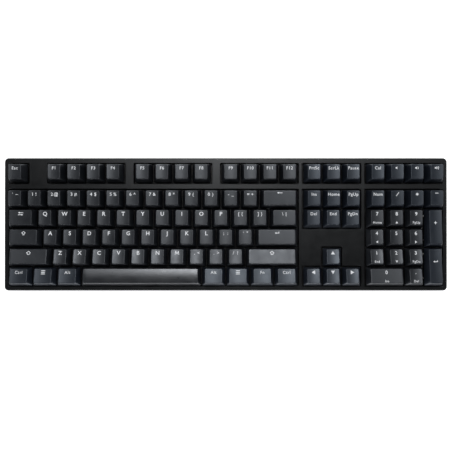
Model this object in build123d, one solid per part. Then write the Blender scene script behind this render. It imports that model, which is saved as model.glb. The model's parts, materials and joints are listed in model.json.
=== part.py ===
"""Full-size mechanical keyboard, 108 keys, built as separate pieces in millimetres.

Frame: +X to the right of the typist, +Y away from the typist, +Z up.  The origin lies on the desk
under the middle of the footprint.  Everything above the feet is drawn in the plate frame (z = 0 on
top of the switch plate) and then tilted by the typing angle.
"""
from build123d import *
from collections import namedtuple
from math import asin, cos, degrees, radians, sin
import os

os.makedirs("parts", exist_ok=True)

# ---- key grid ---------------------------------------------------------------------------------
UNIT = 19.05              # key pitch
FUNCTION_PITCH = 25.5     # function row to number row
WIDTH_UNITS = 22.5        # whole key field
TYPING_ANGLE = 6.0        # plate tilt, rear edge up
PLATE_HEIGHT = 17.6       # desk to plate top, at the middle
TRAVEL = 4.0              # key travel along the plate normal

# ---- enclosure --------------------------------------------------------------------------------
CASE_WIDTH = 438.6
CASE_FRONT = -65.2        # outer front edge in the plate frame
CASE_REAR = 66.2          # outer rear edge in the plate frame
CASE_MIDDLE = (CASE_FRONT + CASE_REAR) / 2
CASE_CORNER = 4.0         # plan corner radius
BEZEL_TOP = 6.2           # bezel surface above the plate
PARTING = 1.0             # seam between the two case halves
WALL = 2.4
CASE_TAPER = 7.0          # the lower half narrows towards the desk
CASE_DEPTH = 27.0         # drawn depth of the lower half, before the desk trims it
CASE_UNDERSIDE = 1.0      # desk to the flat underside
CASE_FLOOR = 3.2          # desk to the inside floor
OPENING_GAP = 0.6         # key field to bezel opening
OPENING_CORNER = 1.0
PANEL = 2.2               # bezel panel thickness
EDGE_ROUND = 1.4          # top edge of the bezel
OPENING_CHAMFER = 0.4
SEAM_CHAMFER = 0.35
UNDERSIDE_CHAMFER = 0.8

# ---- plate, board and screws ------------------------------------------------------------------
PLATE_SIZE = (431.4, 124.0)
PLATE_CORNER = 2.0
PLATE_TOP = -0.15         # the switch flanges keep this much clear of the steel
PLATE_THICKNESS = 1.5
BOARD_SIZE = (429.2, 121.6)
HOUSING_BOTTOM = -5.0
BOARD_TOP = -5.15
BOARD_THICKNESS = 1.6
CUTOUT = 14.0
SCREW_SPOTS = ((1.5, 38.1), (6.25, 38.1), (10.75, 38.1), (15.125, 38.1), (20.5, 38.1),
               (15.9, -12.75), (17.6, -12.75))
SCREW_SEAT = -12.0        # underside of the screw's post, where its head bears
SCREW_TIP = 4.0
SCREW_RADIUS = 1.4
SCREW_HEAD = (2.8, 1.68)  # radius and height
SCREW_DEPTH = 0.8         # of the cross recess
PILOT_RADIUS = 1.6        # screw hole in the bezel's post
CLEARANCE_RADIUS = 1.65   # screw hole in the tray's post
COUNTERBORE = 3.2
TOP_POST = 2.5            # radii of the posts on the bezel and on the tray
TRAY_POST = 3.2
TRAY_POST_FOOT = 4.8
POST_STEP = -9.0          # where the tray post narrows to pass through the board

# ---- switches ---------------------------------------------------------------------------------
HOUSING = 13.7
FLANGE = 15.6
FLANGE_THICKNESS = 1.0
RIM_HEIGHT = 0.5          # housing above the plate, inside the flange
HOUSING_TOP = 6.6
COVER_FOOT = (14.2, 14.2)
COVER_ROOF = (9.6, 8.6)
WELL = (7.4, 6.0)         # opening that the stem slides in
WELL_FLOOR = -3.8
STEM_BLOCK = (7.0, 5.6)
STEM_TOP = 10.2
STEM_LOW = 0.8
SPRING_BORE = 2.2
SPRING_SEAT = 5.2
PEG_RADIUS = 2.0
CROSS_LONG = 4.0
CROSS_X = 1.2
CROSS_Y = 1.1
FIT = 0.05                # clearance of a push fit
PIN_SPOTS = ((-3.4, 4.6), (2.6, 4.6))
PIN_BOTTOM = -8.3
BLADE = (1.0, 0.3)        # width and thickness of a contact
BLADE_TOP = 0.4
SPRING_RADIUS = 1.9
SPRING_WIRE = 0.16
SPRING_TURNS = 5
SPRING_TOP = 5.05

# ---- keycaps ----------------------------------------------------------------------------------
SKIRT = 6.2               # keycap lower edge above the plate
CAP_GAP = 0.95            # between neighbouring keycaps
CAP_TOP_WIDTH = 12.25
CAP_TOP_DEPTH = 14.4
CAP_SKEW = 1.5            # top face sits towards the rear
CAP_WALL = 1.5
CAP_CORNERS = (0.8, 1.9)  # plan radii at the skirt and at the top
DISH = 0.65               # depth of the hollow across the top face
BAR_CROWN = 0.6           # rise of the space bar's rounded back
POST_RADIUS = 2.75
HOMING_BAR = (3.6, 0.5, 0.35)
HOMING_Y = -4.6           # in front of the middle of the top face

# ---- stabilisers ------------------------------------------------------------------------------
STAB_OFFSET = 11.94       # 2 to 2.75 unit keys
SPACE_OFFSET = 50.0
WIRE_RADIUS = 0.8
WIRE_Y = -8.9             # wire axis, in front of the switch
WIRE_Z = 1.1
WIRE_ARM = 8.0
WIRE_BEND = 1.6
ARM_SLOT = 1.1            # half width of the slots that the wire arms move in
WIRE_LIFT = degrees(asin(TRAVEL / 2 / WIRE_ARM))

# ---- feet and legs ----------------------------------------------------------------------------
FOOT_SPOTS = ((-195.0, -56.5), (195.0, -56.5), (-195.0, 54.5), (195.0, 54.5))
FOOT_SIZE = (24.0, 8.0)
FOOT_HEIGHT = 1.8
FOOT_PLAY = 0.2           # around a foot in its recess
LEG_X = 150.0
LEG_WIDTH = 30.0
LEG_PIVOT = (57.0, 3.8)   # y and z of the hinge axis
LEG_REACH = 14.0
LEG_BARREL = 2.4
LEG_PIN = 1.2
LEG_PIN_LENGTH = 1.8      # beyond each side of the leg
LEG_PLAY = 0.3

USB_X = -95.25
USB_Z = -3.35            # middle of the socket
SOLDER = 0.15             # stand-off between neighbouring parts

# middle of each row, front to back
FIELD_DEPTH = 4 * UNIT + FUNCTION_PITCH
ROWS = ("space", "shift", "home", "top", "digit")
ROW_Y = {row: step * UNIT - FIELD_DEPTH / 2 for step, row in enumerate(ROWS)}
ROW_Y["function"] = FIELD_DEPTH / 2

# height of the dished top above the skirt, and its tilt with the front edge up
PROFILE = {
    "function": (9.8, 0.0),
    "digit": (9.8, 0.0),
    "top": (7.45, 2.5),
    "home": (6.55, 5.0),
    "shift": (6.7, 11.5),
    "space": (6.7, 11.5),
    "plus": (7.0, 3.5),
    "pad_enter": (6.9, 6.0),
    "bar": (7.3, 7.4),
}

Key = namedtuple("Key", "x y wide deep profile bank stab homing")


def field_x(units):
    """Key-field position in units from the left edge, as a plate-frame x."""
    return (units - WIDTH_UNITS / 2) * UNIT


def keys_in_row(bank, row, first, widths, homing=()):
    """Neighbouring keys of one row, from the left edge `first` in units."""
    found = []
    left = first
    for place, width in enumerate(widths):
        found.append(Key(field_x(left + width / 2), ROW_Y[row], width, 1, row, bank, 0,
                         place in homing))
        left += width
    return found


def wide_key(bank, x, y, wide, deep, profile, offset):
    """A stabilised key, with its middle at x in units."""
    return Key(field_x(x), y, wide, deep, profile, bank, offset, False)


def layout():
    """Every key of the board."""
    found = keys_in_row("function_keys", "function", 0, [1])
    for first in (2, 6.5, 11):
        found += keys_in_row("function_keys", "function", first, [1] * 4)
    found += keys_in_row("system_keys", "function", 15.25, [1] * 3)
    found += keys_in_row("system_keys", "function", 18.5, [1] * 4)
    found += keys_in_row("digit_row", "digit", 0, [1] * 13)
    found += keys_in_row("top_row", "top", 0, [1.5] + [1] * 12 + [1.5])
    found += keys_in_row("home_row", "home", 0, [1.75] + [1] * 11, homing=(4, 7))
    found += keys_in_row("lower_row", "shift", 2.25, [1] * 10)
    found += keys_in_row("bottom_row", "space", 0, [1.25] * 3)
    found += keys_in_row("bottom_row", "space", 10, [1.25] * 4)
    found += keys_in_row("navigation", "digit", 15.25, [1] * 3)
    found += keys_in_row("navigation", "top", 15.25, [1] * 3)
    found += keys_in_row("arrows", "shift", 16.25, [1])
    found += keys_in_row("arrows", "space", 15.25, [1] * 3)
    found += keys_in_row("numpad", "digit", 18.5, [1] * 4)
    found += keys_in_row("numpad", "top", 18.5, [1] * 3)
    found += keys_in_row("numpad", "home", 18.5, [1] * 3, homing=(1,))
    found += keys_in_row("numpad", "shift", 18.5, [1] * 3)
    found += keys_in_row("numpad", "space", 20.5, [1])
    plus_y = (ROW_Y["top"] + ROW_Y["home"]) / 2
    enter_y = (ROW_Y["shift"] + ROW_Y["space"]) / 2
    found += [
        wide_key("backspace", 14, ROW_Y["digit"], 2, 1, "digit", STAB_OFFSET),
        wide_key("enter", 13.875, ROW_Y["home"], 2.25, 1, "home", STAB_OFFSET),
        wide_key("left_shift", 1.125, ROW_Y["shift"], 2.25, 1, "shift", STAB_OFFSET),
        wide_key("right_shift", 13.625, ROW_Y["shift"], 2.75, 1, "shift", STAB_OFFSET),
        wide_key("space_bar", 6.875, ROW_Y["space"], 6.25, 1, "bar", SPACE_OFFSET),
        wide_key("numpad_zero", 19.5, ROW_Y["space"], 2, 1, "space", STAB_OFFSET),
        wide_key("numpad_plus", 22, plus_y, 1, 2, "plus", STAB_OFFSET),
        wide_key("numpad_enter", 22, enter_y, 1, 2, "pad_enter", STAB_OFFSET),
    ]
    return found


KEYS = layout()
STABILISED = [key for key in KEYS if key.stab]

# the footprint is centred over the origin
FRONT_REACH = CASE_FRONT * cos(radians(TYPING_ANGLE)) - BEZEL_TOP * sin(radians(TYPING_ANGLE))
REAR_REACH = CASE_REAR * cos(radians(TYPING_ANGLE)) - PARTING * sin(radians(TYPING_ANGLE))
TILT = Location((0, -(FRONT_REACH + REAR_REACH) / 2, PLATE_HEIGHT), (TYPING_ANGLE, 0, 0))


def block(x_span, y_span, z_span):
    """Box given by its limits."""
    size = [high - low for low, high in (x_span, y_span, z_span)]
    centre = [(high + low) / 2 for low, high in (x_span, y_span, z_span)]
    return Pos(*centre) * Box(*size)


def upright(radius, low, high):
    """Cylinder along z between two heights."""
    return Pos(0, 0, (low + high) / 2) * Cylinder(radius, high - low)


def stab_places(key):
    """Locations of a stabilised key's two outer stems, wire side along local -y."""
    if key.deep > 1:
        return [Location((key.x, key.y + side * key.stab, 0), (0, 0, -90)) for side in (-1, 1)]
    return [Location((key.x + side * key.stab, key.y, 0)) for side in (-1, 1)]


def save(name, pieces):
    """Tilt the plate-frame pieces and write them as one node."""
    write(name, [TILT * piece for piece in pieces])


def write(name, pieces):
    """Write pieces that already stand in the desk frame."""
    solids = [solid for piece in pieces for solid in piece.solids()]
    shape = Compound(solids) if len(solids) > 1 else solids[0]
    export_step(shape, "parts/" + name + ".step")


# ---- keycaps ----------------------------------------------------------------------------------
def cross_prism(spare, low, high):
    """The cross of a key stem, grown by a clearance."""
    long_half = CROSS_LONG / 2 + spare
    flat = block((-long_half, long_half), (-CROSS_Y / 2 - spare, CROSS_Y / 2 + spare), (low, high))
    deep = block((-CROSS_X / 2 - spare, CROSS_X / 2 + spare), (-long_half, long_half), (low, high))
    return flat + deep


def cap_body(base, top, plane, radii):
    """Straight-sided keycap body between its lower outline and its top plane."""
    outline = RectangleRounded(*base, radii[0]) if radii[0] else Rectangle(*base)
    roof = RectangleRounded(*top, radii[1]) if radii[1] else Rectangle(*top)
    return loft([(Pos(0, 0, SKIRT) * outline).face(), (plane * roof).face()], ruled=True)


def keycap(wide, deep, profile, stab, homing):
    """One hollow keycap over the origin of the plate frame."""
    height, tilt = PROFILE[profile]
    base = (wide * UNIT - CAP_GAP, deep * UNIT - CAP_GAP)
    top = (CAP_TOP_WIDTH + (wide - 1) * UNIT, CAP_TOP_DEPTH + (deep - 1) * UNIT)
    convex = profile == "bar"
    rim = 0 if convex else DISH
    plane = Pos(0, CAP_SKEW, SKIRT + height + rim) * Rot(-tilt, 0, 0)
    body = cap_body(base, top, plane, CAP_CORNERS)
    if convex:
        radius = (top[1] ** 2 / 4 + BAR_CROWN ** 2) / (2 * BAR_CROWN)
        roof = plane * Pos(0, 0, -radius) * Rot(0, 90, 0) * Cylinder(radius, base[0] * 2)
        body = body & roof
    else:
        radius = (top[0] ** 2 / 4 + DISH ** 2) / (2 * DISH)
        scoop = plane * Pos(0, 0, radius - DISH) * Rot(90, 0, 0) * Cylinder(radius, base[1] * 3)
        body = body - scoop
    if homing:
        long, thick, proud = HOMING_BAR
        body += plane * Pos(0, HOMING_Y, -DISH) * Box(long, thick, 2 * proud)
    ceiling = Pos(0, CAP_SKEW, SKIRT + height - CAP_WALL) * Rot(-tilt, 0, 0)
    thin = 2 * CAP_WALL
    hollow = cap_body((base[0] - thin, base[1] - thin), (top[0] - thin, top[1] - thin),
                      ceiling, (0, 0))
    shell = body - hollow
    for place in post_places(deep, stab):
        post = place * upright(POST_RADIUS, HOUSING_TOP + FIT, SKIRT + height + 4)
        shell = shell + (post & body)
    for place in post_places(deep, stab):
        shell = shell - place * cross_prism(FIT, 0, STEM_TOP + FIT)
    return shell


def post_places(deep, stab):
    """Where a keycap has its posts."""
    places = [Location((0, 0, 0))]
    if stab and deep > 1:
        places += [Location((0, side * stab, 0)) for side in (-1, 1)]
    elif stab:
        places += [Location((side * stab, 0, 0)) for side in (-1, 1)]
    return places


# ---- switches and stabilisers -----------------------------------------------------------------
def frustum(lower, upper, low, high):
    """Tapered block between two rectangles."""
    bottom = Pos(0, 0, low) * Rectangle(*lower)
    top = Pos(0, 0, high) * Rectangle(*upper)
    return loft([bottom.face(), top.face()], ruled=True)


def slab(size, low, high):
    """Block over the origin, from its plan size and two heights."""
    return block((-size[0] / 2, size[0] / 2), (-size[1] / 2, size[1] / 2), (low, high))


def contact_blade(spot, spare=0, top=BLADE_TOP):
    """A contact blade that ends in a solder pin, grown by a clearance."""
    size = [extent + 2 * spare for extent in BLADE]
    return Pos(*spot) * slab(size, PIN_BOTTOM, top)


def switch_base():
    """Lower switch housing with its flange, well and centre peg."""
    base = slab((HOUSING, HOUSING), HOUSING_BOTTOM, RIM_HEIGHT)
    base += slab((FLANGE, FLANGE), 0, FLANGE_THICKNESS)
    base += upright(PEG_RADIUS, PIN_BOTTOM, HOUSING_BOTTOM + 1)
    base -= slab(WELL, WELL_FLOOR, FLANGE_THICKNESS)
    for spot in PIN_SPOTS:
        base -= contact_blade(spot, FIT, FLANGE_THICKNESS)
    return base


def switch_top():
    """Upper switch housing with the opening for the stem."""
    cover = frustum(COVER_FOOT, COVER_ROOF, FLANGE_THICKNESS + FIT, HOUSING_TOP)
    return cover - slab(WELL, 0, STEM_TOP)


def switch_stem():
    """Sliding stem: cross on a shouldered block with a bore for the spring."""
    slider = slab(STEM_BLOCK, STEM_LOW, HOUSING_TOP)
    slider += cross_prism(0, HOUSING_TOP - 0.5, STEM_TOP)
    return slider - upright(SPRING_BORE, 0, SPRING_SEAT)


def switch_spring():
    """Rippled sleeve with the outline of the compression spring, from the well floor to the stem."""
    low = WELL_FLOOR + FIT
    high = SPRING_TOP
    half_turn = (high - low) / (2 * SPRING_TURNS)
    outline = [(SPRING_RADIUS - SPRING_WIRE, low)]
    for step in range(2 * SPRING_TURNS + 1):
        radius = SPRING_RADIUS if step % 2 == 0 else SPRING_RADIUS + SPRING_WIRE
        outline.append((radius, low + step * half_turn))
    outline.append((SPRING_RADIUS - SPRING_WIRE, high))
    section = Plane.XZ * make_face(Polyline(*outline, close=True))
    return revolve(section, Axis.Z)


def stab_housing():
    """Guide for an outer stem, with a slot for the wire arm and lugs for the wire."""
    guide = block((-3.3, 3.3), (-7.0, 7.0), (-4.5, 0.5))
    guide += block((-3.9, 3.9), (-7.6, 7.8), (0, FLANGE_THICKNESS))
    guide += block((-3.3, 3.3), (-4.3, 4.3), (0.5, 4.6))
    for side in (-1, 1):
        span = sorted((side * 1.4, side * 3.0))
        guide += block(span, (WIRE_Y - 1.05, -7.0), (0.05, 1.3))
    guide -= block((-2.8, 2.8), (-2.9, 2.9), (-3.9, 6))
    guide -= block((-ARM_SLOT, ARM_SLOT), (-12, 0), (-1.8, 6))
    groove = Pos(0, WIRE_Y, WIRE_Z) * Rot(0, 90, 0) * Cylinder(WIRE_RADIUS + FIT, 12)
    groove += block((-6, 6), (WIRE_Y - WIRE_RADIUS - FIT, WIRE_Y + WIRE_RADIUS + FIT), (WIRE_Z, 4))
    return guide - groove


def stab_stem():
    """Outer stem of a stabilised key, with a slot for the wire end."""
    stem = block((-2.5, 2.5), (-2.6, 2.6), (STEM_LOW, HOUSING_TOP))
    stem += cross_prism(0, HOUSING_TOP - 0.5, STEM_TOP)
    return stem - block((-ARM_SLOT, ARM_SLOT), (-3, 0.2), (1.6, 4.5))


def stab_wire(offset):
    """Stabiliser wire along x, its arms raised to meet the stems of an unpressed key."""
    end = WIRE_ARM
    path = FilletPolyline((-offset, end, 0), (-offset, 0, 0), (offset, 0, 0), (offset, end, 0),
                          radius=WIRE_BEND)
    section = Plane(origin=path @ 0, z_dir=path % 0) * Circle(WIRE_RADIUS)
    return Pos(0, WIRE_Y, WIRE_Z) * Rot(WIRE_LIFT, 0, 0) * sweep(section, path=path)


# ---- plate and board --------------------------------------------------------------------------
def plate():
    """Steel plate with a cut-out for every switch and stabiliser."""
    outline = Pos(0, CASE_MIDDLE) * RectangleRounded(*PLATE_SIZE, PLATE_CORNER)
    holes = [Pos(key.x, key.y) * Rectangle(CUTOUT, CUTOUT) for key in KEYS]
    slot = Pos(0, -0.55) * Rectangle(6.9, 15.5)
    holes += [place * slot for key in STABILISED for place in stab_places(key)]
    holes += [Pos(field_x(x), y) * Circle(1.8) for x, y in SCREW_SPOTS]
    return Pos(0, 0, PLATE_TOP - PLATE_THICKNESS) * extrude(outline - holes, PLATE_THICKNESS)


def board():
    """Circuit board with holes for the switch pegs, pins and case posts."""
    outline = Pos(0, CASE_MIDDLE) * RectangleRounded(*BOARD_SIZE, PLATE_CORNER)
    holes = []
    for key in KEYS:
        holes.append(Pos(key.x, key.y) * Circle(2.2))
        holes += [Pos(key.x + x, key.y + y) * Circle(0.7) for x, y in PIN_SPOTS]
    holes += [Pos(field_x(x), y) * Circle(3.6) for x, y in SCREW_SPOTS]
    return Pos(0, 0, BOARD_TOP - BOARD_THICKNESS) * extrude(outline - holes, BOARD_THICKNESS)


def diode():
    """Small surface-mount diode under the board, one per switch."""
    high = BOARD_TOP - BOARD_THICKNESS - SOLDER
    return block((4.2, 6.8), (-4.8, -3.2), (high - 1.0, high))


def controller():
    """Square controller chip with its rows of leads, on top of the board."""
    low = BOARD_TOP + SOLDER
    chip = block((-5, 5), (-5, 5), (low + 0.15, low + 1.3))
    lead = block((4.8, 6.2), (-0.2, 0.2), (low, low + 0.4))
    for side in range(4):
        for step in range(8):
            chip += Rot(0, 0, 90 * side) * Pos(0, (step - 3.5) * 1.1) * lead
    return Pos(field_x(16.75), ROW_Y["home"]) * chip


def usb_socket():
    """Receptacle for the detachable cable, standing on the rear edge of the board."""
    place = Location((USB_X, 57.6, USB_Z), (-90, 0, 0))
    shell = extrude(RectangleRounded(8.94, 3.26, 1.2), 7.3)
    shell -= Pos(0, 0, 1.5) * extrude(RectangleRounded(8.34, 2.66, 1.0), 8)
    tongue = Pos(0, 0, 3.6) * Box(6.7, 0.7, 4.8)
    return place * (shell + tongue)


# ---- enclosure --------------------------------------------------------------------------------
def case_outline(inset):
    """Plan outline of the case, around its own middle."""
    size = (CASE_WIDTH - 2 * inset, CASE_REAR - CASE_FRONT - 2 * inset)
    return RectangleRounded(*size, CASE_CORNER - inset / 2)


def opening(left, right, low_row, high_row):
    """Bezel opening around a group of keys, from its limits in units and its rows."""
    width = (right - left) * UNIT + 2 * OPENING_GAP
    low = ROW_Y[low_row] - UNIT / 2 - OPENING_GAP
    high = ROW_Y[high_row] + UNIT / 2 + OPENING_GAP
    shape = RectangleRounded(width, high - low, OPENING_CORNER)
    return Pos(field_x((left + right) / 2), (low + high) / 2) * shape


def bezel_openings():
    """All openings of the bezel."""
    spans = ((0, 1), (2, 6), (6.5, 10.5), (11, 15), (15.25, 18.25), (18.5, 22.5))
    shapes = [opening(left, right, "function", "function") for left, right in spans]
    shapes.append(opening(0, 15, "space", "digit"))
    shapes.append(opening(15.25, 18.25, "top", "digit"))
    shapes.append(opening(15.25, 18.25, "space", "space") + opening(16.25, 17.25, "space", "shift"))
    shapes.append(opening(18.5, 22.5, "space", "digit"))
    return shapes


def top_case():
    """Bezel half of the case: rounded rim, key openings and screw posts."""
    rim = Pos(0, CASE_MIDDLE, PARTING) * extrude(case_outline(0), BEZEL_TOP - PARTING)
    rim = fillet(rim.faces().sort_by(Axis.Z)[-1].edges(), EDGE_ROUND)
    rim = chamfer(rim.faces().sort_by(Axis.Z)[0].edges(), SEAM_CHAMFER)
    for shape in bezel_openings():
        rim -= Pos(0, 0, PARTING - 1) * extrude(shape, BEZEL_TOP + 2)
    inner = [edge for wire in rim.faces().sort_by(Axis.Z)[-1].inner_wires() for edge in wire.edges()]
    rim = chamfer(inner, OPENING_CHAMFER)
    roof = BEZEL_TOP - PANEL
    hollows = (((1.25, 1.75), (44.0, 60.0)), ((15.4, 18.1), (-19.0, -6.0)),
               ((15.4, 15.9), (-38.0, -24.0)), ((17.6, 18.1), (-38.0, -24.0)))
    for (left, right), y_span in hollows:
        rim -= block((field_x(left), field_x(right)), y_span, (PARTING - 1, roof))
    for x, y in SCREW_SPOTS:
        rim += Pos(field_x(x), y) * upright(TOP_POST, 0, roof + 0.5)
    for x, y in SCREW_SPOTS:
        rim -= Pos(field_x(x), y) * upright(PILOT_RADIUS, -1, SCREW_TIP + 0.6)
    return rim


def tapered(inset):
    """Lower case volume, narrowing downwards from the seam to well below the desk."""
    seam = Plane(origin=(0, CASE_MIDDLE, PARTING), x_dir=(1, 0, 0), z_dir=(0, 0, -1))
    return TILT * extrude((seam * case_outline(inset)).face(), CASE_DEPTH, taper=CASE_TAPER)


def desk_block(low, high):
    """Wide slab between two heights above the desk."""
    return block((-300, 300), (-150, 150), (low, high))


def bottom_case():
    """Tray half of the case, in the desk frame."""
    outer = tapered(0) & desk_block(CASE_UNDERSIDE, 60)
    outer = chamfer(outer.faces().sort_by(Axis.Z)[0].edges(), UNDERSIDE_CHAMFER)
    cavity = tapered(WALL) & desk_block(CASE_FLOOR, 60)
    case = outer - cavity
    low = -CASE_DEPTH
    post_top = PLATE_TOP - PLATE_THICKNESS - SOLDER
    for x, y in SCREW_SPOTS:
        foot = Pos(field_x(x), y) * upright(TRAY_POST_FOOT, low, POST_STEP)
        neck = Pos(field_x(x), y) * upright(TRAY_POST, low, post_top)
        case += (TILT * (foot + neck)) & outer
    for side in (-1, 1):
        case += leg_shroud(side)
    for x, y in SCREW_SPOTS:
        case -= TILT * Pos(field_x(x), y) * upright(CLEARANCE_RADIUS, low, 0)
        case -= TILT * Pos(field_x(x), y) * upright(COUNTERBORE, low, SCREW_SEAT)
    for side in (-1, 1):
        case -= leg_pocket(side)
    recess = [extent + 2 * FOOT_PLAY for extent in FOOT_SIZE]
    for x, y in FOOT_SPOTS:
        case -= Pos(x, y, CASE_UNDERSIDE) * Box(*recess, 2.0)
    return case - TILT * usb_cutter()


def usb_cutter():
    """Opening in the rear wall for the cable plug, with a shallow recess around it."""
    place = Location((USB_X, 60.0, USB_Z), (-90, 0, 0))
    through = extrude(RectangleRounded(9.6, 3.9, 1.5), 12)
    recess = Pos(0, 0, 4.9) * extrude(RectangleRounded(13.0, 5.2, 2.0), 8)
    return place * (through + recess)


def leg_shroud(side):
    """Walls around the pocket of a tilt leg."""
    y, z = LEG_PIVOT
    half = LEG_WIDTH / 2 + 3.2
    return block((side * LEG_X - half, side * LEG_X + half), (y - LEG_REACH - 2.4, y + 5.2),
                 (CASE_UNDERSIDE + 0.4, z + 5.0))


def leg_pocket(side):
    """Space for a folded tilt leg and its hinge pins."""
    y, z = LEG_PIVOT
    half = LEG_WIDTH / 2 + LEG_PLAY
    room = block((side * LEG_X - half, side * LEG_X + half), (y - LEG_REACH - 0.6, y + 3.2),
                 (0, z + 3.2))
    bore_length = LEG_WIDTH + 2 * (LEG_PIN_LENGTH + LEG_PLAY)
    bore = Pos(side * LEG_X, y, z) * Rot(0, 90, 0) * Cylinder(LEG_PIN + FIT, bore_length)
    return room + bore


def tilt_leg(side):
    """Fold-out leg: flat paddle, hinge barrel and two pins."""
    y, z = LEG_PIVOT
    half = LEG_WIDTH / 2
    paddle = block((-half, half), (-LEG_REACH, 0), (-2.3, 1.0))
    paddle = fillet(paddle.edges().filter_by(Axis.Z).group_by(Axis.Y)[0], 3.0)
    paddle -= block((-half + 5, half - 5), (-LEG_REACH + 3, -4), (-3, -1.3))
    barrel = Rot(0, 90, 0) * Cylinder(LEG_BARREL, LEG_WIDTH)
    pins = Rot(0, 90, 0) * Cylinder(LEG_PIN, LEG_WIDTH + 2 * LEG_PIN_LENGTH)
    return Pos(side * LEG_X, y, z) * (paddle + barrel + pins)


def rubber_foot(spot):
    """Rectangular foot set into the underside."""
    foot = Box(*FOOT_SIZE, FOOT_HEIGHT)
    foot = fillet(foot.edges().filter_by(Axis.Z), 1.5)
    foot = chamfer(foot.faces().sort_by(Axis.Z)[0].edges(), 0.3)
    return Pos(*spot, FOOT_HEIGHT / 2) * foot


def case_screw():
    """Round-headed screw with a cross recess, driven from below."""
    radius, height = SCREW_HEAD
    top = SCREW_SEAT - SOLDER
    head = upright(radius, top - height, top)
    head = fillet(head.faces().sort_by(Axis.Z)[0].edges(), 0.6)
    screw = head + upright(SCREW_RADIUS, top - height / 2, SCREW_TIP)
    for size in ((2.6, 0.6), (0.6, 2.6)):
        screw -= Pos(0, 0, top - height) * Box(*size, 2 * SCREW_DEPTH)
    return screw


# ---- the nodes --------------------------------------------------------------------------------
def spread(shape, keys):
    """Copies of a shape at every key."""
    return [Pos(key.x, key.y) * shape for key in keys]


def build_keys():
    """Two nodes per bank: its keycaps, and the stems that they sit on."""
    stem = switch_stem()
    outer_stem = stab_stem()
    caps = {}
    for bank in dict.fromkeys(key.bank for key in KEYS):
        members = [key for key in KEYS if key.bank == bank]
        shells = []
        for key in members:
            kind = (key.wide, key.deep, key.profile, key.stab, key.homing)
            if kind not in caps:
                caps[kind] = keycap(*kind)
            shells.append(Pos(key.x, key.y) * caps[kind])
        stems = spread(stem, members)
        stems += [place * outer_stem for key in members if key.stab for place in stab_places(key)]
        save(bank + "_caps", shells)
        save(bank + "_stems", stems)


def build_wires():
    """One stabiliser wire per wide key."""
    for key in STABILISED:
        turn = -90 if key.deep > 1 else 0
        save(key.bank + "_wire", [Location((key.x, key.y, 0), (0, 0, turn)) * stab_wire(key.stab)])


def build_inside():
    """Switch parts, plate, board and small electronics."""
    save("switch_bases", spread(switch_base(), KEYS))
    save("switch_tops", spread(switch_top(), KEYS))
    save("switch_contacts", [Pos(key.x, key.y) * contact_blade(spot)
                             for key in KEYS for spot in PIN_SPOTS])
    save("switch_springs", spread(switch_spring(), KEYS))
    save("stabiliser_housings", [place * stab_housing()
                                 for key in STABILISED for place in stab_places(key)])
    save("switch_plate", [plate()])
    save("circuit_board", [board()])
    save("diodes", spread(diode(), KEYS))
    save("controller_chip", [controller()])
    save("usb_socket", [usb_socket()])


def build_enclosure():
    """Case halves, screws, feet and legs."""
    save("top_case", [top_case()])
    save("case_screws", [Pos(field_x(x), y) * case_screw() for x, y in SCREW_SPOTS])
    write("bottom_case", [bottom_case()])
    write("rubber_feet", [rubber_foot(spot) for spot in FOOT_SPOTS])
    write("tilt_leg_left", [tilt_leg(-1)])
    write("tilt_leg_right", [tilt_leg(1)])


build_enclosure()
build_inside()
build_keys()
build_wires()
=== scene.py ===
"""Looks of the mechanical keyboard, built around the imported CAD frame.  Metres, same frame."""
import json
import math
from collections import namedtuple

import bmesh
import bpy
import numpy as np
from mathutils import Matrix, Vector


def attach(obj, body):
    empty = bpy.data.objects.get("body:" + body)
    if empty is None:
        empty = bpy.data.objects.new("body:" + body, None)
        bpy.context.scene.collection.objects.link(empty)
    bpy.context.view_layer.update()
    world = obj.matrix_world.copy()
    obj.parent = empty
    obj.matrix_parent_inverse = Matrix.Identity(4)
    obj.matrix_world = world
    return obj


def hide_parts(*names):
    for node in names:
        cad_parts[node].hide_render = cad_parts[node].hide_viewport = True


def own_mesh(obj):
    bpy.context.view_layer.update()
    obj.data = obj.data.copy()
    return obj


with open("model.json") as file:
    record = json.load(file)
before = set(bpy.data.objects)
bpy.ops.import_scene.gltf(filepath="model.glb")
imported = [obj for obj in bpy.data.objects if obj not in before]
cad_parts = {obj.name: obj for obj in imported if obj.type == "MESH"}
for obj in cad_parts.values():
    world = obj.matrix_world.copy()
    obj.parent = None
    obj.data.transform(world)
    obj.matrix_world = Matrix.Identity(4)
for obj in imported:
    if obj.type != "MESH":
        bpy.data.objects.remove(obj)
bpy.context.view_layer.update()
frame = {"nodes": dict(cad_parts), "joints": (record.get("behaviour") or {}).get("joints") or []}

# ---- shared dimensions, millimetres in the plate frame (z = 0 at the switch plate) ------------
UNIT = 19.05                        # key pitch
FUNCTION_PITCH = 25.5               # digit row to function row
WIDTH_UNITS = 22.5                  # key units from the left edge of Esc to the right of the numpad
FIELD = 4 * UNIT + FUNCTION_PITCH   # space row to function row
ROW_Y = {"space": -FIELD / 2, "shift": -FIELD / 2 + UNIT, "home": -FIELD / 2 + 2 * UNIT,
         "top": -FIELD / 2 + 3 * UNIT, "digit": -FIELD / 2 + 4 * UNIT, "function": FIELD / 2}
CASE_FRONT, CASE_REAR = -65.2, 66.2
BEZEL_TOP = 6.2                     # bezel surface above the plate
PARTING = 1.0                       # joint of the two case halves above the plate
PLATE_HEIGHT = 17.6                 # desk to plate top, at the middle

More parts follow.
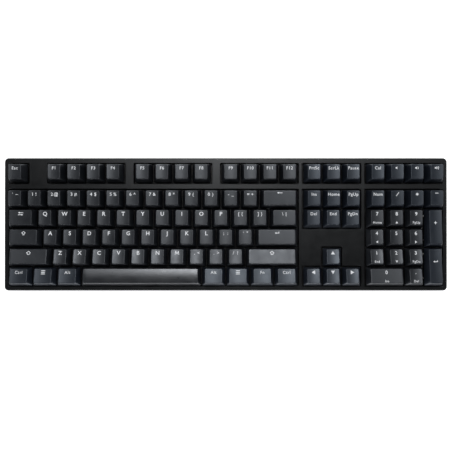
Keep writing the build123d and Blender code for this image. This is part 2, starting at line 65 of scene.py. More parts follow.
# ---- keycap dimensions ------------------------------------------------------------------------
SKIRT = 6.2                         # keycap lower edge above the plate
CAP_GAP = 0.95                      # between neighbouring keycaps
TOP_W, TOP_D = 12.25, 14.4          # top face of a keycap of one unit
SKEW = 1.5                          # top face sits towards the rear
DISH = 0.65                         # depth of the hollow across the top face
CAP_WALL = 1.4
EDGE = 0.5                          # rounding between the top face and the flanks
CORNER = 1.4                        # plan radius of the top face
CORNER_LOSS = 0.6                   # how much that radius shrinks per millimetre of inset
LIP = 0.3                           # softening of the lower edge
FOOT_CORNER, LIP_CORNER = 0.8, 0.6  # plan radii above and below that softening
HOLLOW_CORNER = 0.15                # plan radius of the hollow
FLANK_STEPS = (0.12, 0.5, 0.88)     # stations between the lower edge and the top face
EDGE_TURNS = (22, 45, 67, 90)       # degrees around the rounding
FACE_STEPS = (0.94, 0.84, 0.7, 0.52, 0.34, 0.16)    # rings of the top face, from rim to middle
HOMING_Y = -4.6                     # in front of the middle of the top face
BAR_CROWN = 0.6                     # rise of the space bar's rounded back
# height of the top face above the skirt, and its tilt in degrees
PROFILE = {"function": (9.8, 0.0), "digit": (9.8, 0.0), "top": (7.45, 2.5), "home": (6.55, 5.0),
           "shift": (6.7, 11.5), "space": (6.7, 11.5), "plus": (7.0, 3.5),
           "pad_enter": (6.9, 6.0), "bar": (7.3, 7.4)}
POST_RADIUS = 2.75
POST_LOW = 6.65                     # lower end of a post, above the switch housing
POST_LEAST = 10.6                   # lowest place where a post may end, above its socket
POST_SINK = 0.3                     # how far a post runs into the ceiling of its cap
SOCKET_TOP = 10.25
SOCKET_HALF = 2.05                  # half length of both arms of the cross-shaped socket
ARM_X, ARM_Y = 0.65, 0.6            # half thickness of the arm along y and of the arm along x
STAB, STAB_BAR = 11.94, 50.0        # outer stems of a wide key and of the space bar, from its middle

# ---- springs ----------------------------------------------------------------------------------
SPRING_LOW, SPRING_HIGH = -3.75, 5.05

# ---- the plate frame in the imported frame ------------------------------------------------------
press = Vector(next(j for j in frame["joints"] if j["name"] == "space_bar_press")["axis"])
TILT_ANGLE = math.atan2(press.y, -press.z)
FRONT = CASE_FRONT * math.cos(TILT_ANGLE) - BEZEL_TOP * math.sin(TILT_ANGLE)
REAR = CASE_REAR * math.cos(TILT_ANGLE) - PARTING * math.sin(TILT_ANGLE)
TILT = (Matrix.Translation((0, -(FRONT + REAR) / 2000, PLATE_HEIGHT / 1000))
        @ Matrix.Rotation(TILT_ANGLE, 4, "X") @ Matrix.Scale(0.001, 4))


def field_x(units):
    """Place across the keyboard, from key units counted from the left."""
    return (units - WIDTH_UNITS / 2) * UNIT


# ---- keys: centre in millimetres, size in units, stab the offset of the outer stems -----------
Key = namedtuple("Key", "bank x y wide deep profile stab legend")
KEYS = []


def row(bank, name, first, widths, legends):
    """Adds a run of neighbouring keys to one row, from its left edge in units."""
    left = first
    for width, legend in zip(widths, legends):
        KEYS.append(Key(bank, field_x(left + width / 2), ROW_Y[name], width, 1, name, 0, legend))
        left += width


row("function_keys", "function", 0, [1], ["Esc"])
row("function_keys", "function", 2, [1] * 4, ["F1", "F2", "F3", "F4"])
row("function_keys", "function", 6.5, [1] * 4, ["F5", "F6", "F7", "F8"])
row("function_keys", "function", 11, [1] * 4, ["F9", "F10", "F11", "F12"])
row("system_keys", "function", 15.25, [1] * 3, ["PrtSc", "ScrLk", "Pause"])
row("system_keys", "function", 18.5, [1] * 4, ["Cal", "@mute", "@quiet", "@loud"])
row("digit_row", "digit", 0, [1] * 13,
    ["` ~", "1 !", "2 @", "3 #", "4 $", "5 %", "6 ^", "7 &", "8 *", "9 (", "0 )", "- _", "= +"])
row("top_row", "top", 0, [1.5] + [1] * 12 + [1.5],
    ["@tab", "Q", "W", "E", "R", "T", "Y", "U", "I", "O", "P", "[ {", "] }", "\\ |"])
row("home_row", "home", 0, [1.75] + [1] * 11,
    ["@caps", "A", "S", "D", "F", "G", "H", "J", "K", "L", "; :", "' \""])
row("lower_row", "shift", 2.25, [1] * 10,
    ["Z", "X", "C", "V", "B", "N", "@em", ", <", ". >", "/ ?"])
row("bottom_row", "space", 0, [1.25] * 3, ["Ctrl", "@menu", "Alt"])
row("bottom_row", "space", 10, [1.25] * 4, ["Alt", "@menu", "Fn", "Ctrl"])
row("navigation", "digit", 15.25, [1] * 3, ["Ins", "Home", "PgUp"])
row("navigation", "top", 15.25, [1] * 3, ["Del", "End", "PgDn"])
row("arrows", "shift", 16.25, [1], ["@up"])
row("arrows", "space", 15.25, [1] * 3, ["@left", "@down", "@right"])
row("numpad", "digit", 18.5, [1] * 4, ["Num", "@slash", "@star", "@minus"])
row("numpad", "top", 18.5, [1] * 3, ["7\nHome", "8\n@up", "9\nPgUp"])
row("numpad", "home", 18.5, [1] * 3, ["4\n@left", "5", "6\n@right"])
row("numpad", "shift", 18.5, [1] * 3, ["1\nEnd", "2\n@down", "3\nPgDn"])
row("numpad", "space", 20.5, [1], [".\nDel"])
KEYS += [
    Key("backspace", field_x(14), ROW_Y["digit"], 2, 1, "digit", STAB, "@back"),
    Key("enter", field_x(13.875), ROW_Y["home"], 2.25, 1, "home", STAB, "@enter"),
    Key("left_shift", field_x(1.125), ROW_Y["shift"], 2.25, 1, "shift", STAB, "@shift"),
    Key("right_shift", field_x(13.625), ROW_Y["shift"], 2.75, 1, "shift", STAB, "@shift"),
    Key("space_bar", field_x(6.875), ROW_Y["space"], 6.25, 1, "bar", STAB_BAR, ""),
    Key("numpad_zero", field_x(19.5), ROW_Y["space"], 2, 1, "space", STAB, "0\nIns"),
    Key("numpad_plus", field_x(22), (ROW_Y["top"] + ROW_Y["home"]) / 2, 1, 2, "plus", STAB,
        "@plus"),
    Key("numpad_enter", field_x(22), (ROW_Y["shift"] + ROW_Y["space"]) / 2, 1, 2, "pad_enter",
        STAB, "@enter"),
]
BANKS = list(dict.fromkeys(key.bank for key in KEYS))
SLATE_BANKS = {"system_keys", "bottom_row", "navigation", "arrows", "numpad_plus", "numpad_enter"}
OPERATORS = {"Num", "@slash", "@star", "@minus"}
HOMING = {"F", "J", "5"}


def tone(key):
    """Colour family of a keycap, which is also the name of its material slot."""
    if key.bank == "space_bar":
        return "bar_plastic"
    slate = key.bank in SLATE_BANKS or (key.bank == "numpad" and key.legend in OPERATORS)
    return "cap_slate" if slate else "cap_grey"


# ---- mesh helpers -----------------------------------------------------------------------------
class Build:
    """Collects vertices (plate frame, mm) and faces, then makes one object."""

    def __init__(self):
        self.verts = []
        self.faces = []
        self.total = 0

    def add(self, verts, faces, offset):
        """Adds one closed shell, moved by the offset."""
        verts = np.asarray(verts, float) + np.asarray(offset, float)
        self.verts.append(verts)
        self.faces += [tuple(i + self.total for i in face) for face in faces]
        self.total += len(verts)

    def make(self, name, body, material, smooth=True):
        """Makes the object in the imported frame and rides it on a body."""
        world = np.array(TILT)
        points = np.concatenate(self.verts) @ world[:3, :3].T + world[:3, 3]
        mesh = bpy.data.meshes.new(name)
        mesh.from_pydata(points.tolist(), [], self.faces)
        mesh.update()
        mesh.polygons.foreach_set("use_smooth", [smooth] * len(mesh.polygons))
        mesh.materials.append(material)
        obj = bpy.data.objects.new(name, mesh)
        bpy.context.scene.collection.objects.link(obj)
        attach(obj, body)
        return obj


def ring(a, b, radius, across, along, corner=6):
    """Points of a rounded rectangle of half sizes a and b, anticlockwise.

    The number of points depends only on the divisions across, along and around a corner.
    """
    radius = min(radius, a * 0.98, b * 0.98)
    points = []
    arcs = [(a - radius, b - radius, 0), (-(a - radius), b - radius, 90),
            (-(a - radius), -(b - radius), 180), (a - radius, -(b - radius), 270)]
    splits = [across, along, across, along]
    for i, (cx, cy, start) in enumerate(arcs):
        for k in range(corner + 1):
            angle = math.radians(start + 90 * k / corner)
            points.append((cx + radius * math.cos(angle), cy + radius * math.sin(angle)))
        next_x, next_y, next_start = arcs[(i + 1) % 4]
        angle = math.radians(next_start)
        end = (next_x + radius * math.cos(angle), next_y + radius * math.sin(angle))
        begin = points[-1]
        for k in range(1, splits[i]):
            t = k / splits[i]
            points.append((begin[0] + (end[0] - begin[0]) * t, begin[1] + (end[1] - begin[1]) * t))
    return np.array(points)


def skin(rings, start, finish):
    """Closed shell: faces joining rings of equal length, and a centre point for each end."""
    count = len(rings[0])
    verts = [point for points in rings for point in points]
    faces = []
    for r in range(len(rings) - 1):
        base = r * count
        for i in range(count):
            j = (i + 1) % count
            faces.append((base + i, base + j, base + count + j, base + count + i))
    verts.append(start)
    centre = len(verts) - 1
    faces += [(centre, (i + 1) % count, i) for i in range(count)]
    verts.append(finish)
    centre = len(verts) - 1
    last = (len(rings) - 1) * count
    faces += [(last + i, last + (i + 1) % count, centre) for i in range(count)]
    return verts, faces


# ---- shape of the keycaps ---------------------------------------------------------------------
class Cap:
    """Shape of one keycap over the origin of the plate frame."""

    def __init__(self, wide, deep, profile):
        self.height, tilt = PROFILE[profile]
        self.tilt = math.radians(tilt)
        self.bar = profile == "bar"
        self.rim = 0 if self.bar else DISH
        self.base = ((wide * UNIT - CAP_GAP) / 2, (deep * UNIT - CAP_GAP) / 2)
        self.top = ((TOP_W + (wide - 1) * UNIT) / 2, (TOP_D + (deep - 1) * UNIT) / 2)
        self.radius = (self.top[0] ** 2 + DISH ** 2) / (2 * DISH)
        self.crown = (self.top[1] ** 2 + BAR_CROWN ** 2) / (2 * BAR_CROWN)
        self.splits = (max(8, round(8 * wide)), max(6, round(8 * deep)))

    def surface(self, x, y):
        """Height of the dished or crowned face above its rim plane."""
        if self.bar:
            return math.sqrt(self.crown ** 2 - y * y) - self.crown
        return self.radius - math.sqrt(max(0, self.radius ** 2 - x * x)) - DISH

    def place(self, x, y, z):
        """From the top face's own plane to the plate frame."""
        c, s = math.cos(self.tilt), math.sin(self.tilt)
        return (x, y * c + z * s + SKEW, -y * s + z * c + SKIRT + self.height + self.rim)

    def on_face(self, x, y, lift=0):
        """Point of the top face, or at a height above it."""
        return self.place(x, y, self.surface(x, y) + lift)

    def level(self, a, b, radius, z):
        """Ring at one height of the plate frame."""
        return [(x, y, z) for x, y in ring(a, b, radius, *self.splits)]

    def mesh(self):
        """Closed shell: hollow, lower edge, flanks, rounded rim and top face."""
        a, b = self.top
        base_a, base_b = self.base
        ceiling = ring(a - CAP_WALL, b - CAP_WALL, HOLLOW_CORNER, *self.splits)
        foot = self.level(base_a, base_b, FOOT_CORNER, SKIRT + LIP)
        head = [self.on_face(x, y, -EDGE) for x, y in ring(a, b, CORNER, *self.splits)]
        rings = [[self.place(x, y, -DISH - CAP_WALL) for x, y in ceiling],
                 self.level(base_a - CAP_WALL, base_b - CAP_WALL, HOLLOW_CORNER, SKIRT),
                 self.level(base_a - LIP, base_b - LIP, LIP_CORNER, SKIRT),
                 foot]
        for t in FLANK_STEPS:
            rings.append([tuple(np.array(p) * (1 - t) + np.array(q) * t)
                          for p, q in zip(foot, head)])
        rings.append(head)
        for turn in EDGE_TURNS:
            inset = EDGE * (1 - math.cos(math.radians(turn)))
            drop = EDGE * (1 - math.sin(math.radians(turn)))
            outline = ring(a - inset, b - inset, CORNER - CORNER_LOSS * inset, *self.splits)
            rings.append([self.on_face(x, y, -drop) for x, y in outline])
        rim = ring(a - EDGE, b - EDGE, CORNER - CORNER_LOSS * EDGE, *self.splits)
        for scale in FACE_STEPS:
            rings.append([self.on_face(x * scale, y * scale) for x, y in rim])
        return skin(rings, self.place(0, 0, -DISH - CAP_WALL), self.on_face(0, 0))


def post(high):
    """Round post with the cross-shaped socket for the stem."""
    corners = [(SOCKET_HALF, ARM_Y), (ARM_X, ARM_Y), (ARM_X, SOCKET_HALF)]
    cross = [(x * sx, y * sy) for sx in (-1, 1) for sy in (-1, 1) for x, y in corners]
    cross.sort(key=lambda p: math.atan2(p[1], p[0]))
    inner, outer = [], []
    for (x0, y0), (x1, y1) in zip(cross, cross[1:] + cross[:1]):
        for t in (0, 0.5):
            x, y = x0 + (x1 - x0) * t, y0 + (y1 - y0) * t
            angle = math.atan2(y, x)
            inner.append((x, y))
            outer.append((POST_RADIUS * math.cos(angle), POST_RADIUS * math.sin(angle)))
    rings = [[(x, y, SOCKET_TOP) for x, y in inner], [(x, y, POST_LOW) for x, y in inner],
             [(x, y, POST_LOW) for x, y in outer], [(x, y, high) for x, y in outer]]
    return skin(rings, (0, 0, SOCKET_TOP), (0, 0, high))


def homing_bar(cap):
    """Small raised bar near the front of the top face, for the finger to find."""
    long, thick, proud, sink, soft = 1.8, 0.27, 0.38, 0.2, 0.12
    rings = []
    for grow, z in ((0.0, -sink), (0.0, proud - soft), (-soft, proud)):
        outline = ring(long + grow, thick + grow, thick + grow, 6, 1, 4)
        rings.append([cap.place(x, y + HOMING_Y, z - DISH) for x, y in outline])
    return skin(rings, cap.place(0, HOMING_Y, -sink - DISH), cap.place(0, HOMING_Y, proud - DISH))


# ---- materials --------------------------------------------------------------------------------
class Nodes:
    """Short way to build a node material."""

    def __init__(self, name):
        self.material = bpy.data.materials.new(name)
        self.material.use_nodes = True
        self.tree = self.material.node_tree
        self.tree.nodes.clear()
        self.output = self.new("ShaderNodeOutputMaterial")
        self.shader = self.new("ShaderNodeBsdfPrincipled")
        self.link(self.shader.outputs[0], self.output.inputs[0])
        self.coords = self.new("ShaderNodeTexCoord").outputs["Object"]

    def new(self, kind, **values):
        node = self.tree.nodes.new(kind)
        for key, value in values.items():
            setattr(node, key, value)
        return node

    def link(self, a, b):
        self.tree.links.new(a, b)

    def set(self, name, value):
        self.shader.inputs[name].default_value = value

    def noise(self, scale, detail, rough=0.5):
        node = self.new("ShaderNodeTexNoise")
        node.inputs["Scale"].default_value = scale
        node.inputs["Detail"].default_value = detail
        node.inputs["Roughness"].default_value = rough
        self.link(self.coords, node.inputs["Vector"])
        return node.outputs["Fac"]

    def ramp(self, source, low, high, out_low, out_high):
        node = self.new("ShaderNodeMapRange")
        node.inputs["From Min"].default_value = low
        node.inputs["From Max"].default_value = high
        node.inputs["To Min"].default_value = out_low
        node.inputs["To Max"].default_value = out_high
        self.link(source, node.inputs["Value"])
        return node.outputs["Result"]

    def mix(self, factor, a, b):
        node = self.new("ShaderNodeMix", data_type="RGBA")
        self.link(factor, node.inputs["Factor"])
        node.inputs["A"].default_value = (*a, 1)
        node.inputs["B"].default_value = (*b, 1)
        return node.outputs["Result"]

    def bump(self, height, strength, distance, normal=None):
        node = self.new("ShaderNodeBump")
        node.inputs["Strength"].default_value = strength
        node.inputs["Distance"].default_value = distance
        self.link(height, node.inputs["Height"])
        if normal is not None:
            self.link(normal, node.inputs["Normal"])
        return node.outputs["Normal"]

    def finish(self, colour, rough, normal):
        self.link(colour, self.shader.inputs["Base Color"])
        self.link(rough, self.shader.inputs["Roughness"])
        self.link(normal, self.shader.inputs["Normal"])
        return self.material


def plastic(name, colour, rough, grain=900, depth=0.00003, spread=0.12, bevel=0.0, sheen=None,
            ior=1.5):
    """Moulded plastic: fine spark-eroded grain, faint blotches of colour and polish.

    grain is the fineness and depth the height of the grain, spread is the swing of the colour,
    bevel rounds the edges in the shading, and sheen is the strength and the tint of the
    reflection, where it differs from plain plastic.
    """
    n = Nodes(name)
    blotch = n.noise(35, 3)
    light = tuple(c * (1 + spread) for c in colour)
    dark = tuple(c * (1 - spread) for c in colour)
    base = n.mix(n.ramp(blotch, 0.35, 0.65, 0, 1), dark, light)
    polish = n.ramp(n.noise(120, 4, 0.6), 0.3, 0.7, rough - 0.05, rough + 0.05)
    start = None
    if bevel:
        edge = n.new("ShaderNodeBevel", samples=4)
        edge.inputs["Radius"].default_value = bevel
        start = edge.outputs["Normal"]
    normal = n.bump(n.noise(grain, 3, 0.65), 0.35, depth, start)
    n.set("IOR", ior)
    if sheen:
        strength, tint = sheen
        n.set("Specular IOR Level", strength)
        n.set("Specular Tint", (*tint, 1))
    return n.finish(base, polish, normal)


def metal(name, colour, rough):
    """Drawn or stamped metal with a fine mottle in its colour and polish."""
    n = Nodes(name)
    stretch = n.new("ShaderNodeMapping")
    stretch.inputs["Scale"].default_value = (400, 400, 400)
    n.link(n.coords, stretch.inputs["Vector"])
    n.coords = stretch.outputs["Vector"]
    mottle = n.noise(3, 3, 0.6)
    base = n.mix(mottle, tuple(c * 0.8 for c in colour), colour)
    n.set("Metallic", 1.0)
    return n.finish(base, n.ramp(mottle, 0.3, 0.7, rough - 0.06, rough + 0.08),
                    n.bump(mottle, 0.2, 0.00002))


case_skin = plastic("case_skin", (0.0030, 0.0032, 0.0036), 0.36, 1400, bevel=0.0004,
                    sheen=(0.44, (0.94, 0.97, 1.0)))
cap_skins = {
    "cap_grey": plastic("cap_grey_skin", (0.0060, 0.0070, 0.0090), 0.38,
                        sheen=(0.84, (0.88, 0.93, 1.0))),
    "cap_slate": plastic("cap_slate_skin", (0.0068, 0.0090, 0.0140), 0.38,
                         sheen=(0.86, (0.80, 0.89, 1.0))),
    "bar_plastic": plastic("bar_skin", (0.0060, 0.0070, 0.0090), 0.32,
                           sheen=(1.0, (0.92, 0.95, 1.0)), ior=1.58)}
print_white = plastic("legend_print", (0.86, 0.88, 0.90), 0.5, 3000, depth=0.000005, spread=0.03)
leg_skin = plastic("leg_skin", (0.010, 0.0105, 0.0115), 0.45, bevel=0.0003)
housing_skin = plastic("housing_skin", (0.010, 0.010, 0.010), 0.35)
stem_skin = plastic("stem_skin", (0.03, 0.09, 0.32), 0.35)
chip_skin = plastic("chip_skin", (0.012, 0.012, 0.012), 0.55)
rubber = plastic("rubber_skin", (0.014, 0.014, 0.014), 0.8, 600, depth=0.00006)
board_skin = plastic("board_skin", (0.012, 0.05, 0.022), 0.3, 300, depth=0.00001)
plate_skin = plastic("plate_skin", (0.006, 0.006, 0.007), 0.5, 700, depth=0.00005)
steel = metal("wire_skin", (0.62, 0.62, 0.62), 0.3)
spring_metal = metal("spring_skin", (0.65, 0.64, 0.60), 0.28)
brass = metal("contact_skin", (0.80, 0.58, 0.26), 0.25)
socket_metal = metal("socket_skin", (0.60, 0.60, 0.61), 0.3)
screw_metal = metal("screw_skin", (0.10, 0.10, 0.11), 0.4)

CAD_SKINS = {"bottom_case": case_skin, "top_case": case_skin, "switch_plate": plate_skin,
             "circuit_board": board_skin, "switch_bases": housing_skin,
             "switch_tops": housing_skin, "switch_contacts": brass, "switch_springs": spring_metal,
             "stabiliser_housings": housing_skin, "case_screws": screw_metal,
             "rubber_feet": rubber, "usb_socket": socket_metal, "controller_chip": chip_skin,
             "diodes": chip_skin, "tilt_leg_left": leg_skin, "tilt_leg_right": leg_skin}


def cad_skin(name):
    """Material of a CAD node, or None for the nodes of the keycaps, which are replaced."""
    if name.endswith("_stems"):
        return stem_skin
    if name.endswith("_wire"):
        return steel
    return CAD_SKINS.get(name)


for name, node in frame["nodes"].items():
    if cad_skin(name) is not None:
        node.data.materials.clear()
        node.data.materials.append(cad_skin(name))

# ---- keycaps ----------------------------------------------------------------------------------
shapes = {}


def shape_of(key):
    """Shape and mesh of a key's cap, made once for each size and profile."""
    kind = (key.wide, key.deep, key.profile)
    if kind not in shapes:
        cap = Cap(*kind)
        shapes[kind] = (cap, cap.mesh())
    return shapes[kind]


def post_spots(key):
    """Where a keycap has its posts, from its own middle."""
    spots = [(0, 0)]
    if key.stab:
        spots += [(0, s * key.stab) if key.deep > 1 else (s * key.stab, 0) for s in (-1, 1)]
    return spots


def make_keycaps(bank, shade, part):
    """The keycaps of one bank that share a tone, as one object."""
    build = Build()
    for key in KEYS:
        if key.bank != bank or tone(key) != shade:
            continue
        cap, mesh = shape_of(key)
        build.add(*mesh, offset=(key.x, key.y, 0))
        if key.legend in HOMING:
            build.add(*homing_bar(cap), offset=(key.x, key.y, 0))
        ceiling = SKIRT + cap.height - CAP_WALL
        for px, py in post_spots(key):
            high = ceiling + POST_SINK - (py - SKEW) * math.tan(cap.tilt)
            build.add(*post(max(high, POST_LEAST)), offset=(key.x + px, key.y + py, 0))
    caps = build.make(bank + part + "_keycaps", bank, cap_skins[shade])
    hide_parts(bank + "_caps")


for bank in BANKS:
    tones = list(dict.fromkeys(tone(key) for key in KEYS if key.bank == bank))
    for shade in tones:
        make_keycaps(bank, shade, "" if len(tones) == 1 else "_" + shade.split("_")[1])


# ---- icons: outlines about 3.4 high, anticlockwise --------------------------------------------
def bar(x0, y0, x1, y1, thick):
    """Outline of a straight stroke."""
    dx, dy = x1 - x0, y1 - y0
    length = math.hypot(dx, dy)
    nx, ny = -dy / length * thick / 2, dx / length * thick / 2
    return [(x0 - nx, y0 - ny), (x1 - nx, y1 - ny), (x1 + nx, y1 + ny), (x0 + nx, y0 + ny)]


def spoke(angle, reach, thick):
    """Outline of a straight stroke through the middle."""
    x, y = reach * math.cos(angle), reach * math.sin(angle)
    return bar(-x, -y, x, y, thick)


def arc(cx, cy, radius, start, end, thick):
    """A curved stroke between two angles, as a list of one outline."""
    steps = 8
    points = []
    for i in range(steps + 1):
        angle = math.radians(start + (end - start) * i / steps)
        points.append((math.cos(angle), math.sin(angle)))
    low, high = radius - thick / 2, radius + thick / 2
    outer = [(cx + high * c, cy + high * s) for c, s in points]
    inner = [(cx + low * c, cy + low * s) for c, s in reversed(points)]
    return [outer + inner]


def strokes(points, thick):
    """Outlines of the straight strokes between neighbouring points."""
    return [bar(*a, *b, thick) for a, b in zip(points, points[1:])]


SPEAKER = [[(-1.9, -0.55), (-1.2, -0.55), (-0.2, -1.3), (-0.2, 1.3), (-1.2, 0.55), (-1.9, 0.55)]]
ICONS = {
    "up": [[(-1.9, -1.5), (1.9, -1.5), (0, 1.7)]],
    "down": [[(1.9, 1.5), (-1.9, 1.5), (0, -1.7)]],
    "left": [[(1.6, -1.9), (1.6, 1.9), (-1.7, 0)]],
    "right": [[(-1.6, 1.9), (-1.6, -1.9), (1.7, 0)]],
    "mute": SPEAKER,
    "quiet": SPEAKER + arc(-0.2, 0, 1.3, -50, 50, 0.5),
    "loud": SPEAKER + arc(-0.2, 0, 1.1, -50, 50, 0.42) + arc(-0.2, 0, 2.0, -50, 50, 0.42),
    "menu": [bar(-1.9, y, 1.9, y, 0.75) for y in (-1.5, 0, 1.5)],
    "tab": ([bar(-0.9, 0.95, 2.4, 0.95, 0.6), [(-2.4, 0.95), (-0.9, 0.1), (-0.9, 1.8)]]
            + [bar(-2.4, -0.95, 0.9, -0.95, 0.6), [(2.4, -0.95), (0.9, -0.1), (0.9, -1.8)]]),
    "shift": strokes([(-2.1, -0.1), (0, 1.6), (2.1, -0.1), (0.95, -0.1), (0.95, -1.6),
                      (-0.95, -1.6), (-0.95, -0.1), (-2.1, -0.1)], 0.55),
    "caps": strokes([(-1.9, 0.2), (0, 1.7), (1.9, 0.2), (0.8, 0.2), (0.8, -0.9),
                     (-0.8, -0.9), (-0.8, 0.2), (-1.9, 0.2)], 0.5)
    + [bar(-1.1, -1.65, 1.1, -1.65, 0.4)],
    "back": [bar(-0.9, 0, 2.5, 0, 0.6), [(-2.5, 0), (-0.9, -0.9), (-0.9, 0.9)]],
    "enter": [bar(-0.6, -0.3, 2.2, -0.3, 0.65), [(-2.1, -0.3), (-0.6, -1.2), (-0.6, 0.6)],
              bar(1.9, -0.3, 1.9, 1.1, 0.6)],
    "slash": [bar(-1.3, -1.8, 1.3, 1.8, 0.55)],
    "em": strokes([(-1.75, -1.7), (-1.3, 1.7), (0, -1.3), (1.3, 1.7), (1.75, -1.7)], 0.62),
    "minus": [bar(-1.5, 0, 1.5, 0, 0.55)],
    "plus": [bar(-1.4, 0, 1.4, 0, 0.6), bar(0, -1.4, 0, 1.4, 0.6)],
    "star": [spoke(a, 1.4, 0.6) for a in (math.pi / 2, math.pi / 6, -math.pi / 6)],
}

# ---- legends ----------------------------------------------------------------------------------
LETTER, DIGIT, PAIR, WORD, SMALL, ICON = 3.7, 3.3, 3.1, 2.9, 2.2, 3.5   # heights
LEGEND_Y, SUB_Y, TALL_Y = 3.55, -4.9, 4.2   # main legend, second line, and main on a tall cap
PAIR_GAP = 2.0                      # offset of each half of a pair from the middle
NARROW, NARROW_SHIFT = set("1!()[]{}\\|"), 0.35     # characters that sit nearer the middle
RAISED = {"@back": 1.3, "@minus": 1.0, "@enter": 0.5}   # icons that sit further back
THIN, FIRM = 0.010, 0.022           # thickening of the font's strokes, at size 1
INK_UP, INK_DOWN = 0.03, 0.08       # legend above and below the face of the cap
ICON_DRAWN = 3.4                    # height that the icons are drawn at
CAPITAL = 0.70                      # height of a capital at size 1 in Blender's font
texts = {}


def prism(loops):
    """Closed thin prism meshes over simple anticlockwise outlines, z = -1 below and +1 above."""
    verts, faces = [], []
    for loop in loops:
        count = len(loop)
        start = len(verts)
        verts += [(x, y, -1) for x, y in loop] + [(x, y, 1) for x, y in loop]
        faces.append(tuple(start + count + i for i in range(count)))
        faces.append(tuple(start + count - 1 - i for i in range(count)))
        for i in range(count):
            j = (i + 1) % count
            faces.append((start + i, start + j, start + count + j, start + count + i))
    return verts, faces


def text_mesh(text, bold):
    """Flat-sided mesh of a short text in Blender's own font, z = -1 below and +1 above."""
    data = bpy.data.curves.new("text", "FONT")
    data.body = text
    data.align_x = "CENTER"
    data.size = 1.0
    data.resolution_u = 4
    data.extrude = 0.01
    data.offset = bold
    data.space_character = 1.12
    obj = bpy.data.objects.new("text", data)
    bpy.context.scene.collection.objects.link(obj)
    bpy.context.view_layer.update()
    mesh = bpy.data.meshes.new_from_object(
        obj.evaluated_get(bpy.context.evaluated_depsgraph_get()))
    bm = bmesh.new()
    bm.from_mesh(mesh)
    bmesh.ops.remove_doubles(bm, verts=bm.verts, dist=1e-5)
    verts = [(v.co.x, v.co.y, math.copysign(1, v.co.z)) for v in bm.verts]
    faces = [tuple(v.index for v in f.verts) for f in bm.faces]
    bm.free()
    bpy.data.objects.remove(obj)
    bpy.data.meshes.remove(mesh)
    return verts, faces


def drawing(text, height, bold):
    """Mesh of a text or icon; text scaled so that a capital has the given height."""
    if text.startswith("@") and len(text) > 1:
        verts, faces = prism(ICONS[text[1:]])
        scale = height / ICON_DRAWN
        return [(x * scale, y * scale, z) for x, y, z in verts], faces
    kind = (text, bold)
    if kind not in texts:
        texts[kind] = text_mesh(text, bold)
    verts, faces = texts[kind]
    scale = height / CAPITAL
    return [(x * scale, (y - CAPITAL / 2) * scale, z) for x, y, z in verts], faces


def put(build, key, shape, x_mid, y_mid):
    """Lays a drawing onto the top face of a keycap, around a point of that face."""
    cap = shape_of(key)[0]
    verts, faces = shape
    laid = [cap.on_face(x + x_mid, y + y_mid, INK_UP if z > 0 else -INK_DOWN)
            for x, y, z in verts]
    build.add(laid, faces, offset=(key.x, key.y, 0))


def legend_drawings(bank, text):
    """Drawings of one keycap's legend, as (mesh, x shift, y shift)."""
    main, _, sub = text.partition("\n")
    found = []
    if main.startswith("@"):
        found.append((drawing(main, ICON, 0), 0, RAISED.get(main, 0)))
    elif len(main) == 1:
        found.append((drawing(main, DIGIT if bank.startswith("numpad") else LETTER, FIRM), 0, 0))
    elif " " in main:
        for part, side in zip(main.split(" "), (-1, 1)):
            gap = PAIR_GAP - (NARROW_SHIFT if part in NARROW else 0)
            found.append((drawing(part, PAIR, THIN), side * gap, 0))
    else:
        found.append((drawing(main, WORD, THIN), 0, 0))
    if sub:
        found.append((drawing(sub, SMALL, THIN), 0, SUB_Y - LEGEND_Y))
    return found


def make_legends(bank):
    """The legends of one bank, as one object."""
    build = Build()
    for key in KEYS:
        if key.bank != bank or not key.legend:
            continue
        middle = TALL_Y if key.deep > 1 else LEGEND_Y
        for shape, x_shift, y_shift in legend_drawings(bank, key.legend):
            put(build, key, shape, x_shift, middle + y_shift)
    if build.total:
        build.make(bank + "_legends", bank, print_white, smooth=False)


for bank in BANKS:
    make_legends(bank)


# ---- springs ----------------------------------------------------------------------------------
def spring():
    """Closed helical wire with flattened end turns."""
    turns, steps, sides = 6.0, 16, 6
    radius, wire = 1.9, 0.16
    flat = 0.8                      # turns at each end that hardly climb
    creep = 0.36                    # steady climb of all turns, so that the flat ones stay apart
    climb = SPRING_HIGH - SPRING_LOW - 2 * wire - creep
    total = int(turns * steps)
    rings = []
    for i in range(total + 1):
        t = i / total
        angle = 2 * math.pi * turns * t
        rise = min(1, max(0, (t * turns - flat) / (turns - 2 * flat)))
        z = SPRING_LOW + wire + rise * climb + creep * t
        points = []
        for k in range(sides):
            phi = 2 * math.pi * k / sides
            r = radius + wire * math.cos(phi)
            points.append((r * math.cos(angle), r * math.sin(angle), z + wire * math.sin(phi)))
        rings.append(points)
    return skin(rings, tuple(np.mean(rings[0], axis=0)), tuple(np.mean(rings[-1], axis=0)))


def make_springs(bank, mesh):
    """The springs of one bank, standing on the case."""
    build = Build()
    for key in KEYS:
        if key.bank == bank:
            build.add(*mesh, offset=(key.x, key.y, 0))
    coils = build.make(bank + "_springs", "enclosure", spring_metal)
    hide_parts("switch_springs")
    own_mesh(coils)


spring_mesh = spring()
for bank in BANKS:
    make_springs(bank, spring_mesh)

# ---- floor and surround -----------------------------------------------------------------------
FLOOR = -0.0001                     # a hair below the feet, so that the two faces stay apart
FLOOR_HALF = 3.0
SEEN, MIRRORED = 0.8, 0.7           # extra whiteness of the floor as seen and as reflected
HORIZON, ZENITH = 0.8, 0.06         # brightness of the surround at eye level and straight above
FADE_LOW, FADE_HIGH = 0.35, 0.78    # where the one starts and ends to turn into the other


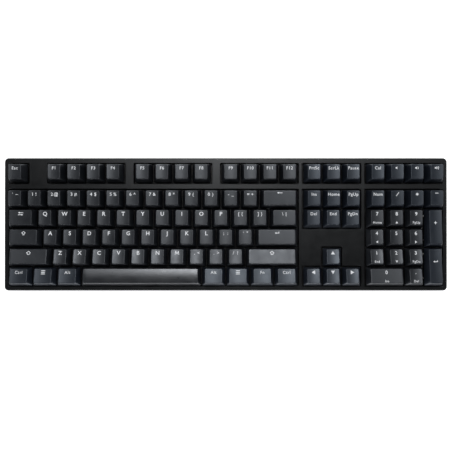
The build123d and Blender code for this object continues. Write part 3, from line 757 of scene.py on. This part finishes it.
def make_floor():
    """Pale matt floor, made whiter to the camera and in reflections only."""
    corners = [(-1, -1), (1, -1), (1, 1), (-1, 1)]
    mesh = bpy.data.meshes.new("floor")
    mesh.from_pydata([(x * FLOOR_HALF, y * FLOOR_HALF, FLOOR) for x, y in corners], [],
                     [(0, 1, 2, 3)])
    floor = bpy.data.objects.new("floor", mesh)
    bpy.context.scene.collection.objects.link(floor)
    n = Nodes("floor")
    n.set("Base Color", (0.85, 0.85, 0.85, 1))
    n.set("Roughness", 0.9)
    n.set("Specular IOR Level", 0.0)
    glow = n.new("ShaderNodeEmission")
    path = n.new("ShaderNodeLightPath")
    seen = n.new("ShaderNodeMath", operation="MULTIPLY")
    seen.inputs[1].default_value = SEEN
    n.link(path.outputs["Is Camera Ray"], seen.inputs[0])
    mirrored = n.new("ShaderNodeMath", operation="MULTIPLY_ADD")
    mirrored.inputs[1].default_value = MIRRORED
    n.link(path.outputs["Is Glossy Ray"], mirrored.inputs[0])
    n.link(seen.outputs[0], mirrored.inputs[2])
    n.link(mirrored.outputs[0], glow.inputs["Strength"])
    add = n.new("ShaderNodeAddShader")
    n.link(n.shader.outputs[0], add.inputs[0])
    n.link(glow.outputs[0], add.inputs[1])
    n.link(add.outputs[0], n.output.inputs[0])
    mesh.materials.append(n.material)


def make_surround():
    """White to the camera; to the object, bright near the horizon and dim above."""
    world = bpy.data.worlds.new("studio")
    bpy.context.scene.world = world
    world.use_nodes = True
    tree = world.node_tree
    surround = tree.nodes["Background"]
    surround.inputs[0].default_value = (0.95, 0.97, 1.0, 1)
    direction = tree.nodes.new("ShaderNodeTexCoord")
    split = tree.nodes.new("ShaderNodeSeparateXYZ")
    fade = tree.nodes.new("ShaderNodeMapRange")
    fade.interpolation_type = "SMOOTHSTEP"
    fade.inputs["From Min"].default_value = FADE_LOW
    fade.inputs["From Max"].default_value = FADE_HIGH
    fade.inputs["To Min"].default_value = HORIZON
    fade.inputs["To Max"].default_value = ZENITH
    backdrop = tree.nodes.new("ShaderNodeBackground")
    backdrop.inputs[0].default_value = (1, 1, 1, 1)
    ray = tree.nodes.new("ShaderNodeLightPath")
    choose = tree.nodes.new("ShaderNodeMixShader")
    tree.links.new(direction.outputs["Generated"], split.inputs[0])
    tree.links.new(split.outputs["Z"], fade.inputs["Value"])
    tree.links.new(fade.outputs["Result"], surround.inputs[1])
    tree.links.new(ray.outputs["Is Camera Ray"], choose.inputs[0])
    tree.links.new(surround.outputs[0], choose.inputs[1])
    tree.links.new(backdrop.outputs[0], choose.inputs[2])
    tree.links.new(choose.outputs[0], tree.nodes["World Output"].inputs[0])


# ---- lights and camera ------------------------------------------------------------------------
CAM_X, CAM_Y, CAM_HEIGHT = 1.9, 30.3, 482.2     # millimetres in the plate frame
CAM_LEAN = math.radians(-0.215)     # away from the plate's normal
CAM_LENS, SENSOR = 38.46, 36.0
SHIFT_X, SHIFT_Y = -0.0060, -0.0682


def softbox(name, place, target, size, power):
    """Rectangular area light, in metres and watts."""
    light = bpy.data.lights.new(name, "AREA")
    light.shape = "RECTANGLE"
    light.size, light.size_y = size
    light.energy = power
    lamp = bpy.data.objects.new(name, light)
    lamp.location = place
    lamp.rotation_euler = (Vector(target) - Vector(place)).to_track_quat("-Z", "Y").to_euler()
    bpy.context.scene.collection.objects.link(lamp)


def make_camera():
    """Camera that looks almost along the normal of the tilted plate."""
    data = bpy.data.cameras.new("camera")
    data.sensor_width = SENSOR
    data.lens = CAM_LENS
    data.shift_x = SHIFT_X
    data.shift_y = SHIFT_Y
    camera = bpy.data.objects.new("camera", data)
    bpy.context.scene.collection.objects.link(camera)
    lean = Matrix.Rotation(-CAM_LEAN, 4, "X")
    spot = TILT @ lean @ Vector((CAM_X, CAM_Y, CAM_HEIGHT))
    turn = (TILT.to_quaternion() @ lean.to_quaternion()).to_matrix().to_4x4()
    camera.matrix_world = Matrix.Translation(spot) @ turn
    bpy.context.scene.camera = camera


make_floor()
make_surround()
softbox("key_light", (0.0, 0.25, 1.0), (0, 0, 0), (0.42, 0.36), 3.3)
softbox("wide_light", (0.03, 0.32, 1.0), (0, 0, 0), (1.3, 0.6), 2.8)
softbox("front_light", (-0.02, -0.9, 0.08), (-0.02, -0.06, 0.02), (0.9, 0.16), 3.6)
make_camera()
bpy.context.scene.view_settings.view_transform = "Standard"
